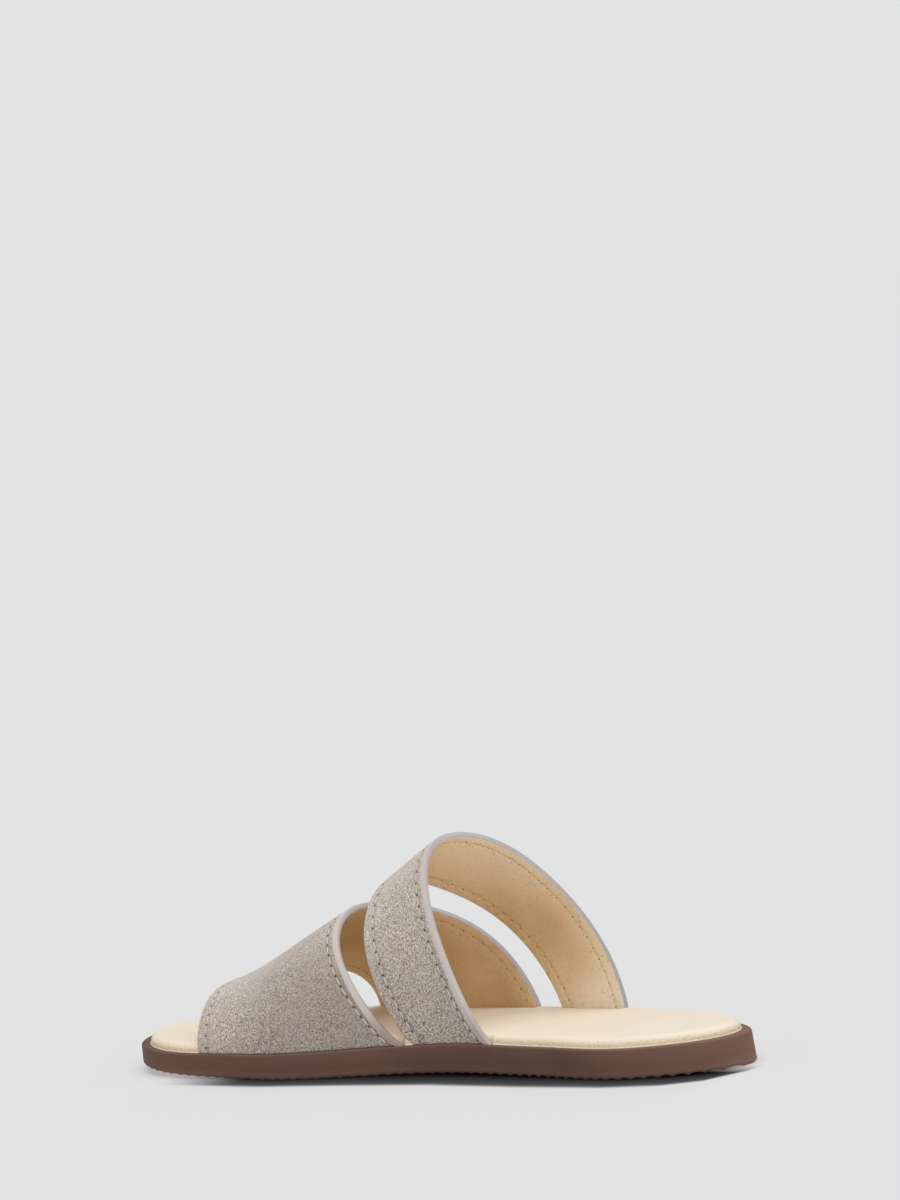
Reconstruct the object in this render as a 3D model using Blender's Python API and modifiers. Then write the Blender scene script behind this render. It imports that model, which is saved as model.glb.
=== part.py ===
"""Slide sandal for the right foot: outsole, padded insole, front strap and rear strap.

Metres. +X points to the toe, +Y to the inner (big toe) side, +Z up. The origin is on the floor,
under the middle of the sole's outline. The sole stands flat at the heel and under the ball.

The sole's outline is an ellipse whose half-width is scaled by a share table on each side. The
straps are bands cut from one surface, the top of the last: at each station along the foot it is an
arch with its own height, ridge and fullness. Every table is in shares of the named sizes.
"""
import bpy
import numpy as np

# Driving dimensions
SOLE_LENGTH = 0.260
BALL_WIDTH = 0.088
INSTEP_HEIGHT = 0.084
OUTSOLE_THICKNESS = 0.0095
HEEL_FLARE = 0.0012
TOE_SPRING = 0.0038
ARCH_RISE = 0.0005
EDGE_ROUND = 0.0007
INSOLE_THICKNESS = 0.0034
INSOLE_EDGE_RADIUS = 0.0024
INSOLE_CROWN = 0.0010
STRAP_WALL = 0.0024
STRAP_INSET = 0.0014
CLEARANCE = 0.0003
TOE_CURVE = 0.0056

# Outline of the sole: station as a share of SOLE_LENGTH from the heel, then the half-widths of the
# inner and the outer side as shares of BALL_WIDTH, both before the ellipse rounds the ends
OUTLINE_COLUMNS = ("station", "inner", "outer")
OUTLINE = (
    (0.00, 0.530, 0.490),
    (0.06, 0.547, 0.486),
    (0.14, 0.527, 0.447),
    (0.25, 0.392, 0.437),
    (0.38, 0.311, 0.396),
    (0.50, 0.308, 0.422),
    (0.60, 0.412, 0.460),
    (0.70, 0.508, 0.558),
    (0.80, 0.552, 0.562),
    (0.90, 0.660, 0.570),
    (1.00, 0.720, 0.568),
)

# Thickness of the outsole along the foot, as a share of OUTSOLE_THICKNESS
THICKNESS_COLUMNS = ("station", "thickness")
THICKNESS = (
    (0.00, 1.17),
    (0.35, 1.13),
    (0.70, 1.00),
    (1.00, 0.71),
)

# Stations where the heel's flare ends, the toe's bend and spring start, and the arch lies
STATIONS = {
    "flare_end": 0.10,
    "bend_start": 0.60,
    "spring_start": 0.68,
    "arch_start": 0.28,
    "arch_end": 0.52,
}

# Top of the last: height over the sole as a share of INSTEP_HEIGHT, the ridge's distance from the
# middle line as a share of BALL_WIDTH, and how full the arch is to each side (2 is an ellipse)
LAST_COLUMNS = ("station", "height", "ridge", "inner_fullness", "outer_fullness")
LAST = (
    (0.20, 1.113, -0.030, 1.61, 3.45),
    (0.30, 1.034, -0.040, 1.56, 3.05),
    (0.40, 0.978, -0.045, 1.50, 2.63),
    (0.50, 0.831, -0.030, 1.47, 2.25),
    (0.60, 0.630, 0.020, 1.49, 1.98),
    (0.70, 0.466, 0.060, 1.57, 1.80),
    (0.80, 0.314, 0.070, 1.67, 1.67),
    (0.90, 0.221, 0.060, 1.78, 1.53),
)

# Edges of the straps: place round the arch (0 at the inner foot, 1 at the outer foot), then where
# each edge crosses it, as a share of SOLE_LENGTH
EDGE_COLUMNS = ("round", "rear_back", "rear_front", "front_back", "front_toe")
STRAP_EDGES = (
    (0.00, 0.354, 0.484, 0.502, 0.826),
    (0.25, 0.465, 0.567, 0.605, 0.844),
    (0.50, 0.479, 0.569, 0.626, 0.844),
    (0.75, 0.397, 0.514, 0.555, 0.743),
    (1.00, 0.262, 0.367, 0.409, 0.718),
)

# How finely the curves are cut into faces
SOLE_STEPS = 48
RUNG_STEPS = 6
STRAP_STEPS_ROUND = 60
STRAP_STEPS_ALONG = 11
EDGE_STEPS = 4
OUTLINE_SAMPLES = 1440
FOOT_DROP = 0.0040

# Colours, linear RGB
RUBBER_BROWN = (0.105, 0.062, 0.046)
INSOLE_CREAM = (0.80, 0.68, 0.46)
SUEDE_TAUPE = (0.36, 0.30, 0.26)


def column(table, columns, name):
    """One named column of a table as an array."""
    return np.array([row[columns.index(name)] for row in table])


def smooth(stations, values, at):
    """Natural cubic spline through (stations, values), read at the places `at`."""
    at = np.asarray(at, dtype=float)
    gaps = np.diff(stations)
    slopes = np.diff(values) / gaps
    size = len(stations)
    system = np.eye(size)
    right = np.zeros(size)
    for row in range(1, size - 1):
        system[row, row - 1:row + 2] = gaps[row - 1], 2 * (gaps[row - 1] + gaps[row]), gaps[row]
        right[row] = 6 * (slopes[row] - slopes[row - 1])
    bends = np.linalg.solve(system, right)
    low = np.clip(np.searchsorted(stations, at, side="right") - 1, 0, size - 2)
    gap = gaps[low]
    before = stations[low + 1] - at
    after = at - stations[low]
    cubic = (bends[low] * before ** 3 + bends[low + 1] * after ** 3) / (6 * gap)
    start = (values[low] / gap - bends[low] * gap / 6) * before
    end = (values[low + 1] / gap - bends[low + 1] * gap / 6) * after
    return cubic + start + end


def read(table, columns, name, at):
    """A column of a table, smoothly read at the places `at` of its first column."""
    return smooth(column(table, columns, columns[0]), column(table, columns, name), at)


def ramp(value, start, end):
    """0 up to start, 1 from end on, and a straight rise between them."""
    return np.clip((value - start) / (end - start), 0, 1)


def outline(angle, inset=0.0):
    """Points (x, y) of the sole's outline. The angle runs from the heel (0) along the inner side to
    the toe (pi) and back along the outer side; inset moves the line inwards along its normal."""
    def raw(a):
        station = (1 - np.cos(a)) / 2
        share = np.where(np.sin(a) >= 0, read(OUTLINE, OUTLINE_COLUMNS, "inner", station),
                         read(OUTLINE, OUTLINE_COLUMNS, "outer", station))
        bend = TOE_CURVE * ramp(station, STATIONS["bend_start"], 1.0) ** 2
        return np.stack([SOLE_LENGTH * station, BALL_WIDTH * share * np.sin(a) + bend], axis=-1)
    step = 1e-3
    tangent = raw(angle + step) - raw(angle - step)
    tangent /= np.linalg.norm(tangent, axis=-1, keepdims=True)
    inwards = np.stack([tangent[..., 1], -tangent[..., 0]], axis=-1)
    return raw(angle) + inset * inwards


def floor_line(station):
    """Height of the sole's underside: flat at the heel and ball, a low arch and the toe spring."""
    spring = TOE_SPRING * ramp(station, STATIONS["spring_start"], 1.0) ** 2
    arch = ARCH_RISE * np.sin(np.pi * ramp(station, STATIONS["arch_start"], STATIONS["arch_end"])) ** 2
    return spring + arch


def sole_top(station):
    """Height of the outsole's flat top face."""
    thickness = OUTSOLE_THICKNESS * read(THICKNESS, THICKNESS_COLUMNS, "thickness", station)
    return floor_line(station) + thickness


def strap_feet(x):
    """Where the outer faces of the straps meet the sole: y of the inner and the outer side."""
    angle = np.linspace(0, 2 * np.pi, OUTLINE_SAMPLES, endpoint=False)
    line = outline(angle, STRAP_INSET)
    inner = line[:OUTLINE_SAMPLES // 2]
    outer = line[OUTLINE_SAMPLES // 2:][::-1]
    return np.interp(x, inner[:, 0], inner[:, 1]), np.interp(x, outer[:, 0], outer[:, 1])


def last_surface(station, turn):
    """Point on the top of the last. turn goes from 0 at the inner foot over the ridge to 1 at the
    outer foot. The cross-section is a superellipse whose fullness changes smoothly from the inner
    side's to the outer side's."""
    x = SOLE_LENGTH * station
    inner_foot, outer_foot = strap_feet(x)
    ridge = BALL_WIDTH * read(LAST, LAST_COLUMNS, "ridge", station)
    height = INSTEP_HEIGHT * read(LAST, LAST_COLUMNS, "height", station)
    cosine = np.cos(np.pi * turn)
    sine = np.clip(np.sin(np.pi * turn), 0, 1)
    outer_share = (1 - cosine) / 2
    inner_power = 2 / read(LAST, LAST_COLUMNS, "inner_fullness", station)
    outer_power = 2 / read(LAST, LAST_COLUMNS, "outer_fullness", station)
    power = inner_power * (1 - outer_share) + outer_power * outer_share
    reach = np.where(cosine > 0, inner_foot - ridge, ridge - outer_foot)
    y = ridge + np.sign(cosine) * reach * np.abs(cosine) ** power
    z = sole_top(station) + height * sine ** power
    return np.stack([x, y, z], axis=-1)


def origin_shift():
    """The middle of the sole's outline, which becomes the origin."""
    line = outline(np.linspace(0, 2 * np.pi, OUTLINE_SAMPLES, endpoint=False))
    middle = (line.min(axis=0) + line.max(axis=0)) / 2
    return np.array([middle[0] - HEEL_FLARE / 2, middle[1], 0.0])


def add_object(name, points, faces, material, collection):
    """A mesh object in its collection, moved so that the origin is under the sole's middle."""
    mesh = bpy.data.meshes.new(name)
    mesh.from_pydata([tuple(p) for p in np.asarray(points) - origin_shift()], [], faces)
    mesh.update()
    if material is not None:
        mesh.materials.append(material)
    made = bpy.data.objects.new(name, mesh)
    collection.objects.link(made)
    return made


def make_material(name, colour, roughness):
    """A plain Principled material without metal."""
    material = bpy.data.materials.new(name)
    material.use_nodes = True
    shader = material.node_tree.nodes["Principled BSDF"]
    shader.inputs["Base Color"].default_value = (*colour, 1.0)
    shader.inputs["Roughness"].default_value = roughness
    shader.inputs["Metallic"].default_value = 0.0
    material.diffuse_color = (*colour, 1.0)
    return material


def stacked_rings(rings, bottom_height, top_height):
    """A closed solid from outline rings stacked from the bottom edge to the top edge.

    Each ring lists the points heel, inner side, toe, outer side. The first and the last ring are
    closed by rungs from the inner to the outer side, whose heights the two functions give from the
    rung's point and its place across (-1 to 1)."""
    count = len(rings[0])
    half = count // 2
    points = [p for ring in rings for p in ring]
    faces = []
    for level in range(len(rings) - 1):
        low = level * count
        high = low + count
        for i in range(count):
            j = (i + 1) % count
            faces.append((low + i, high + i, high + j, low + j))

    def close(start, height, upwards):
        """Close one ring with rungs across the foot."""
        rows = [[start]]
        for i in range(1, half):
            inner = points[start + i]
            outer = points[start + count - i]
            row = [start + i]
            for step in range(1, RUNG_STEPS):
                share = step / RUNG_STEPS
                point = inner * (1 - share) + outer * share
                point[2] = height(point, 1 - 2 * share)
                points.append(point)
                row.append(len(points) - 1)
            row.append(start + count - i)
            rows.append(row)
        rows.append([start + half])
        for back, front in zip(rows[:-1], rows[1:]):
            for step in range(RUNG_STEPS):
                corners = [back[min(step, len(back) - 1)], front[min(step, len(front) - 1)],
                           front[min(step + 1, len(front) - 1)], back[min(step + 1, len(back) - 1)]]
                corners = list(dict.fromkeys(corners))
                faces.append(corners if not upwards else corners[::-1])

    close(0, bottom_height, False)
    close((len(rings) - 1) * count, top_height, True)
    return points, faces


def sole_ring(inset, height, flare=0.0):
    """One ring of the sole: the outline moved inwards, at the height that the function gives for
    each station. flare carries the heel's end backwards."""
    angle = np.linspace(0, 2 * np.pi, 2 * SOLE_STEPS, endpoint=False)
    line = outline(angle, inset)
    station = line[:, 0] / SOLE_LENGTH
    line[:, 0] -= flare * (1 - ramp(station, 0.0, STATIONS["flare_end"]))
    return np.column_stack([line, height(station)])


def build_outsole(collection):
    """Rubber unit: upright side wall with eased edges, flat top, and the shaped underside."""
    def eased_top(station):
        return sole_top(station) - EDGE_ROUND

    def eased_floor(station):
        return floor_line(station) + EDGE_ROUND

    rings = [
        sole_ring(EDGE_ROUND, floor_line, HEEL_FLARE),
        sole_ring(0.0, eased_floor, HEEL_FLARE),
        sole_ring(0.0, eased_top),
        sole_ring(EDGE_ROUND, sole_top),
    ]
    points, faces = stacked_rings(
        rings,
        lambda p, across: floor_line(p[0] / SOLE_LENGTH),
        lambda p, across: sole_top(p[0] / SOLE_LENGTH),
    )
    rubber = make_material("outsole_rubber", RUBBER_BROWN, 0.65)
    return add_object("outsole", points, faces, rubber, collection)


def build_insole(collection):
    """Padded footbed: it lies on the outsole inside the straps' feet, with a rounded upper edge and
    a low crown across the foot."""
    edge_inset = STRAP_INSET + STRAP_WALL + CLEARANCE
    quarter = np.linspace(0, np.pi / 2, EDGE_STEPS + 1)
    side_height = INSOLE_THICKNESS - INSOLE_EDGE_RADIUS

    def bottom(station):
        return sole_top(station) + CLEARANCE

    rings = [sole_ring(edge_inset, bottom)]
    for angle in quarter:
        lift = side_height + INSOLE_EDGE_RADIUS * np.sin(angle)
        inset = edge_inset + INSOLE_EDGE_RADIUS * (1 - np.cos(angle))
        rings.append(sole_ring(inset, lambda station, lift=lift: bottom(station) + lift))

    def crowned(p, across):
        """The top rises from its edge as a flat parabola across the foot."""
        crown = INSOLE_CROWN * (1 - across ** 2) * np.sin(np.pi * p[0] / SOLE_LENGTH)
        return bottom(p[0] / SOLE_LENGTH) + INSOLE_THICKNESS + crown

    points, faces = stacked_rings(rings, lambda p, across: bottom(p[0] / SOLE_LENGTH), crowned)
    leather = make_material("insole_leather", INSOLE_CREAM, 0.6)
    return add_object("insole", points, faces, leather, collection)


def build_foot_trim(collection):
    """Cutter for the straps' feet: everything up to the outsole's top plus the clearance."""
    rings = [
        sole_ring(-STRAP_WALL, lambda station: floor_line(station) - FOOT_DROP),
        sole_ring(-STRAP_WALL, lambda station: sole_top(station) + CLEARANCE),
    ]
    points, faces = stacked_rings(
        rings,
        lambda p, across: floor_line(p[0] / SOLE_LENGTH) - FOOT_DROP,
        lambda p, across: sole_top(p[0] / SOLE_LENGTH) + CLEARANCE,
    )
    cutter = add_object("foot_trim", points, faces, None, collection)
    cutter.hide_render = True
    cutter.display_type = "WIRE"
    return cutter


def build_strap(name, back_edge, front_edge, foot_trim, material, collection):
    """One strap: the band of the last's top between two edges, lined up from foot to foot, made an
    open surface, given its wall inwards and trimmed at the sole."""
    turn = np.linspace(0, 1, STRAP_STEPS_ROUND + 1)
    back = read(STRAP_EDGES, EDGE_COLUMNS, back_edge, turn)
    front = read(STRAP_EDGES, EDGE_COLUMNS, front_edge, turn)
    columns = []
    for share in np.linspace(0, 1, STRAP_STEPS_ALONG + 1):
        band = last_surface(back * (1 - share) + front * share, turn)
        feet = band[[0, -1]] - np.array([0.0, 0.0, FOOT_DROP])
        columns.append(np.vstack([feet[:1], band, feet[1:]]))
    rows = len(columns[0])
    faces = []
    for i in range(STRAP_STEPS_ALONG):
        for j in range(rows - 1):
            a = i * rows + j
            faces.append((a, a + 1, a + rows + 1, a + rows))
    strap = add_object(name, np.vstack(columns), faces, material, collection)
    wall = strap.modifiers.new("wall", "SOLIDIFY")
    wall.thickness = STRAP_WALL
    wall.offset = -1.0
    wall.use_even_offset = True
    trim = strap.modifiers.new("foot_trim", "BOOLEAN")
    trim.operation = "DIFFERENCE"
    trim.solver = "EXACT"
    trim.object = foot_trim
    strap.data.shade_smooth()
    return strap


def main():
    """Clear the scene and build the sandal from the floor up."""
    for old in list(bpy.data.objects):
        bpy.data.objects.remove(old, do_unlink=True)
    sandal = bpy.data.collections.new("slide_sandal")
    cutters = bpy.data.collections.new("cutters")
    for collection in (sandal, cutters):
        bpy.context.scene.collection.children.link(collection)
    build_outsole(sandal)
    build_insole(sandal)
    foot_trim = build_foot_trim(cutters)
    suede = make_material("strap_suede", SUEDE_TAUPE, 0.9)
    build_strap("front_strap", "front_back", "front_toe", foot_trim, suede, sandal)
    build_strap("rear_strap", "rear_back", "rear_front", foot_trim, suede, sandal)


main()
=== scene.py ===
"""Looks of a right-foot slide sandal: rubber sole, padded insole, two lined suede straps."""
import math

import bmesh
import bpy
import numpy as np
from mathutils import Matrix


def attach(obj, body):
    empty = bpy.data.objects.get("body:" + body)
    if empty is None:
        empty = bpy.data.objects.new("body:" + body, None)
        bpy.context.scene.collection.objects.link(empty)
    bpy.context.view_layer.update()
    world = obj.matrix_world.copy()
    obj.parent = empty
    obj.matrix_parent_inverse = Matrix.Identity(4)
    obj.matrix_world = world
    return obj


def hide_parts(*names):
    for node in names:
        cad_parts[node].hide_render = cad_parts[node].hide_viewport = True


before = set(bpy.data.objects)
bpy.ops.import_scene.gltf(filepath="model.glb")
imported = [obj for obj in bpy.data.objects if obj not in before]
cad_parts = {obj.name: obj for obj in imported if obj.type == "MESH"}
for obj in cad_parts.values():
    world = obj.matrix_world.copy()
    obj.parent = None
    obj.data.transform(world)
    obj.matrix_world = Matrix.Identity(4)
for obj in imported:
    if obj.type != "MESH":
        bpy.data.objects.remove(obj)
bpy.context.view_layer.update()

# Camera and studio. The camera stands low on the inner side, turned towards the heel, and is rolled
# a little, as in the photograph. An endless pale floor, lit a little from within, meets a sky of its
# own colour; a soft key light comes from above and a weaker one from the camera's side.
PHOTO_WIDTH, PHOTO_HEIGHT = 900, 1200
AIM = np.array([0.0006, 0.0016, 0.040])
AIM_PIXEL = (398.75, 950.4)
TURN_TO_HEEL = math.radians(35.0)
CAMERA_ELEVATION = math.radians(8.12)
CAMERA_ROLL = math.radians(-5.96)
CAMERA_DISTANCE = 1.6
FOCAL_PIXELS = 4304.0
SENSOR = 36.0


def camera_axes():
    """Right, up and backward axes: the camera looks at AIM, then swings so that AIM falls on
    AIM_PIXEL, then rolls about its own line of sight."""
    back = np.array([-math.sin(TURN_TO_HEEL) * math.cos(CAMERA_ELEVATION),
                     math.cos(TURN_TO_HEEL) * math.cos(CAMERA_ELEVATION),
                     math.sin(CAMERA_ELEVATION)])
    ahead = -back
    right = np.cross(ahead, [0.0, 0.0, 1.0])
    right /= np.linalg.norm(right)
    up = np.cross(right, ahead)
    across = (AIM_PIXEL[0] - PHOTO_WIDTH / 2) / FOCAL_PIXELS
    upwards = -(AIM_PIXEL[1] - PHOTO_HEIGHT / 2) / FOCAL_PIXELS
    swing = -math.atan(across)
    ahead, right = (ahead * math.cos(swing) + right * math.sin(swing),
                    right * math.cos(swing) - ahead * math.sin(swing))
    pitch = -math.atan(upwards * math.cos(swing))
    ahead, up = (ahead * math.cos(pitch) + up * math.sin(pitch),
                 up * math.cos(pitch) - ahead * math.sin(pitch))
    rolled_right = right * math.cos(CAMERA_ROLL) + up * math.sin(CAMERA_ROLL)
    rolled_up = up * math.cos(CAMERA_ROLL) - right * math.sin(CAMERA_ROLL)
    return rolled_right, rolled_up, -ahead, AIM + back * CAMERA_DISTANCE


camera_right, camera_up, camera_back, camera_place = camera_axes()
camera_data = bpy.data.cameras.new("camera")
camera_data.sensor_fit = "VERTICAL"
camera_data.sensor_height = SENSOR
camera_data.lens = FOCAL_PIXELS * SENSOR / PHOTO_HEIGHT
camera_data.clip_start = 0.05
camera_data.clip_end = 200.0
camera = bpy.data.objects.new("camera", camera_data)
bpy.context.scene.collection.objects.link(camera)
camera.matrix_world = Matrix([[*row, place] for row, place in zip(
    np.column_stack([camera_right, camera_up, camera_back]), camera_place)] + [[0, 0, 0, 1]])
bpy.context.scene.camera = camera
bpy.context.scene.view_settings.view_transform = "Standard"


class Wire:
    """A socket's output that Python's own operators can work on: each operator adds a Math node."""

    def __init__(self, tree, socket):
        self.tree = tree
        self.socket = socket

    def join(self, operation, first, second=None):
        node = self.tree.nodes.new("ShaderNodeMath")
        node.operation = operation
        for place, value in enumerate([first, second]):
            if isinstance(value, Wire):
                self.tree.links.new(value.socket, node.inputs[place])
            elif value is not None:
                node.inputs[place].default_value = value
        return Wire(self.tree, node.outputs[0])

    def __add__(self, other):
        return self.join("ADD", self, other)

    def __radd__(self, other):
        return self.join("ADD", other, self)

    def __sub__(self, other):
        return self.join("SUBTRACT", self, other)

    def __rsub__(self, other):
        return self.join("SUBTRACT", other, self)

    def __mul__(self, other):
        return self.join("MULTIPLY", self, other)

    def __rmul__(self, other):
        return self.join("MULTIPLY", other, self)

    def __truediv__(self, other):
        return self.join("DIVIDE", self, other)

    def __pow__(self, other):
        return self.join("POWER", self, other)

    def __abs__(self):
        return self.join("ABSOLUTE", self)

    def fract(self):
        return self.join("FRACT", self)

    def at_most(self, other):
        return self.join("MINIMUM", self, other)

    def at_least(self, other):
        return self.join("MAXIMUM", self, other)


class Finish:
    """A material, or the sky, under construction: its shader and one method that adds nodes."""

    def __init__(self, owner, shader="Principled BSDF"):
        owner.use_nodes = True
        self.owner = owner
        self.tree = owner.node_tree
        self.shader = self.tree.nodes[shader]
        self.place = self.node("ShaderNodeTexCoord", {}, {}, "Object")

    def node(self, kind, settings, values, output=0):
        """Adds a node, sets its settings, then fills its sockets with values or links. The output is
        named or numbered, and so are the sockets."""
        made = self.tree.nodes.new(kind)
        for key, value in settings.items():
            setattr(made, key, value)
        self.fill(made, values)
        return Wire(self.tree, made.outputs[output])

    def fill(self, made, values):
        """Sets or links a node's sockets, named or numbered by key."""
        for key, value in values.items():
            if isinstance(value, Wire):
                self.tree.links.new(value.socket, made.inputs[key])
            else:
                made.inputs[key].default_value = value

    def mark(self, name):
        """A value that the mesh carries for each of its points."""
        return self.node("ShaderNodeAttribute", {"attribute_name": name}, {}, "Fac")

    def along(self, axis):
        """The place on the piece along the axis X, Y or Z, in metres."""
        return self.node("ShaderNodeSeparateXYZ", {}, {"Vector": self.place}, axis)

    def noise(self, size, detail=2.0, roughness=0.5):
        """Cloudy noise, 0 to 1, whose lumps are about size metres wide: its scale is 0.6 / size."""
        return self.node("ShaderNodeTexNoise", {}, {
            "Vector": self.place, "Scale": 0.6 / size, "Detail": detail, "Roughness": roughness})

    def ramp(self, factor, low, high):
        """0 below low and 1 above high, with a smooth rise between them."""
        return self.node("ShaderNodeMapRange", {"interpolation_type": "SMOOTHSTEP"}, {
            "Value": factor, "From Min": low, "From Max": high})

    def mix(self, factor, first, second):
        """Colour between first and second. A colour mix has its colours on sockets 6 and 7 and its
        result on output 2."""
        colours = [value if isinstance(value, Wire) else (*value, 1.0) for value in (first, second)]
        return self.node("ShaderNodeMix", {"data_type": "RGBA"},
                         {0: factor, 6: colours[0], 7: colours[1]}, 2)

    def bump(self, height, depth, strength=1.0, over=None):
        """A bump whose height of 0 to 1 stands for depth metres."""
        values = {"Height": height, "Distance": depth, "Strength": strength}
        if over is not None:
            values["Normal"] = over
        return self.node("ShaderNodeBump", {}, values)

    def finish(self, **sockets):
        """Fills the shader, with _ for the spaces in a socket's name, and hands back its owner."""
        self.fill(self.shader, {key.replace("_", " "): value for key, value in sockets.items()})
        return self.owner


SKY_TONE = 0.768
FILL_STRENGTH = 0.42
KEY_STRENGTH = 1.55
KEY_SOFTNESS = math.radians(60.0)
KEY_FROM = (0.05, -0.10, 1.0)
FRONT_STRENGTH = 0.75
FRONT_SOFTNESS = math.radians(50.0)
FRONT_FROM = (-0.75, 0.60, 0.35)

world = bpy.data.worlds.new("studio")
bpy.context.scene.world = world
sky = Finish(world, "Background")
sky_seen = sky.node("ShaderNodeLightPath", {}, {}, "Is Camera Ray")
sky.finish(Color=(1.0, 1.0, 1.0, 1.0), Strength=sky.node(
    "ShaderNodeMix", {}, {0: sky_seen, 2: FILL_STRENGTH, 3: SKY_TONE}))


def add_sun(name, comes_from, strength, softness):
    """A distant lamp that shines from the given direction with a soft-edged disc."""
    lamp_data = bpy.data.lights.new(name, "SUN")
    lamp_data.energy = strength
    lamp_data.angle = softness
    lamp = bpy.data.objects.new(name, lamp_data)
    bpy.context.scene.collection.objects.link(lamp)
    back = np.array(comes_from) / np.linalg.norm(comes_from)
    side = np.cross([0.0, 0.0, 1.0], back)
    side /= np.linalg.norm(side)
    lamp.matrix_world = Matrix(np.column_stack([side, np.cross(back, side), back]).tolist()).to_4x4()


add_sun("key", KEY_FROM, KEY_STRENGTH, KEY_SOFTNESS)
add_sun("front_fill", FRONT_FROM, FRONT_STRENGTH, FRONT_SOFTNESS)

FLOOR_PAPER = (0.40, 0.40, 0.40)
FLOOR_SHADED = (0.006, 0.006, 0.006)
FLOOR_GLOW = 0.370
GLOW_LIT = (1.0, 1.0, 1.0)
GLOW_SHADED = (0.005, 0.005, 0.005)
FLOOR_REACH = 60.0
SHADE_LONG = (-0.17, 0.17)
SHADE_WIDE = (-0.06, 0.12)
SHADE_FALL = 0.0009
SHADE_SPREAD = 0.018
TAIL_STRENGTH = 0.07
SHADE_LEAST = 0.86
TOE_THIN_FROM, TOE_THIN_OVER = 0.104, 0.042
HEEL_THIN_FROM, HEEL_THIN_OVER = -0.138, 0.004
OUTER_THIN_FROM, OUTER_THIN_OVER = 0.003, 0.014
SHADE_EDGE = (
    (-0.137, 0.010),
    (-0.128, 0.032),
    (-0.116, 0.041),
    (-0.095, 0.046),
    (-0.060, 0.047),
    (-0.020, 0.046),
    (0.020, 0.050),
    (0.050, 0.054),
    (0.090, 0.053),
)


def floor_grid():
    """A grid of points over the floor, fine about the shoe, and how deep in the contact shade each
    one lies: deepest inside, a steep logistic fall at SHADE_EDGE and a faint exponential tail after
    it; the shade thins out under the lifted toe, behind the heel and towards the outer side."""
    x = np.concatenate([[-FLOOR_REACH], np.linspace(*SHADE_LONG, 341), [FLOOR_REACH]])
    y = np.concatenate([[-FLOOR_REACH], np.linspace(*SHADE_WIDE, 201), [FLOOR_REACH]])
    x, y = np.meshgrid(x, y, indexing="ij")
    beyond = y - np.interp(x, *np.array(SHADE_EDGE).T)
    near = 1 / (1 + np.exp(np.clip(beyond / SHADE_FALL, -50, 50)))
    tail = TAIL_STRENGTH * np.exp(-np.clip(beyond, 0, 1) / SHADE_SPREAD)
    depth = np.clip(-beyond / SHADE_SPREAD, 0, 1)
    ends = (np.clip((TOE_THIN_FROM - x) / TOE_THIN_OVER, 0, 1)
            * np.clip((x - HEEL_THIN_FROM) / HEEL_THIN_OVER, 0, 1))
    ends = ends ** 2 * (3 - 2 * ends) * np.clip((y - OUTER_THIN_FROM) / OUTER_THIN_OVER, 0, 1)
    shade = ends * np.maximum(near * (SHADE_LEAST + (1 - SHADE_LEAST) * depth ** 0.7), tail)
    return np.stack([x, y, 0 * x], axis=-1), shade


floor_points, floor_shade = floor_grid()
floor_number = np.arange(floor_shade.size).reshape(floor_shade.shape)
floor_mesh = bpy.data.meshes.new("floor")
floor_mesh.from_pydata(floor_points.reshape(-1, 3).tolist(), [], np.stack(
    [floor_number[:-1, :-1], floor_number[1:, :-1], floor_number[1:, 1:], floor_number[:-1, 1:]],
    axis=-1).reshape(-1, 4).tolist())
floor_mesh.attributes.new("shade", "FLOAT", "POINT").data.foreach_set(
    "value", floor_shade.ravel().astype(np.float32))
floor = bpy.data.objects.new("floor", floor_mesh)
bpy.context.scene.collection.objects.link(floor)
paper = Finish(bpy.data.materials.new("floor_paper"))
paper_shade = paper.mark("shade")
floor_mesh.materials.append(paper.finish(
    Base_Color=paper.mix(paper_shade, FLOOR_PAPER, FLOOR_SHADED),
    Emission_Color=paper.mix(paper_shade, GLOW_LIT, GLOW_SHADED),
    Emission_Strength=FLOOR_GLOW, Roughness=1.0, Specular_IOR_Level=0.0))


# Outsole. One moulded unit of matte brown rubber: flat top, upright wall with an eased upper edge,
# and an underside with shallow round flutes from side to side, whose ends show as scallops.
SOLE_LENGTH = 0.260
BALL_WIDTH = 0.088
OUTSOLE_THICKNESS = 0.0095
HEEL_FLARE = 0.0012
TOE_SPRING = 0.0038
TOE_CURVE = 0.0056
ARCH_RISE = 0.0005
FLUTE_PITCH = 0.0044
FLUTE_DEPTH = 0.0008
FLUTE_FULLNESS = 0.8
WALL_ROUND = 0.0006
WALL_SHARES = (0.15, 0.4, 0.7, 0.88)
SOLE_STEPS = 720
WELD = 2e-6
OUTLINE_COLUMNS = ("station", "inner", "outer")
OUTLINE = (
    (0.00, 0.530, 0.490),
    (0.06, 0.547, 0.486),
    (0.14, 0.527, 0.447),
    (0.25, 0.392, 0.437),
    (0.38, 0.311, 0.396),
    (0.50, 0.308, 0.422),
    (0.60, 0.412, 0.460),
    (0.70, 0.508, 0.558),
    (0.80, 0.552, 0.562),
    (0.90, 0.660, 0.570),
    (1.00, 0.720, 0.568),
)
THICKNESS_COLUMNS = ("station", "thickness")
THICKNESS = (
    (0.00, 1.17),
    (0.35, 1.13),
    (0.70, 1.00),
    (1.00, 0.71),
)
STATIONS = {
    "flare_end": 0.10,
    "bend_start": 0.60,
    "spring_start": 0.68,
    "arch_start": 0.28,
    "arch_end": 0.52,
    "flutes_shallow": 0.42,
    "flutes_deep": 0.30,
}
RUBBER_DARK = (0.152, 0.078, 0.058)
RUBBER_LIGHT = (0.178, 0.093, 0.068)
RUBBER_SPECK = (0.20, 0.13, 0.10)
RUBBER_TOE = (0.118, 0.055, 0.034)
RUBBER_HEEL_PAINTED_LIGHT = (0.25, 0.135, 0.085)
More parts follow.
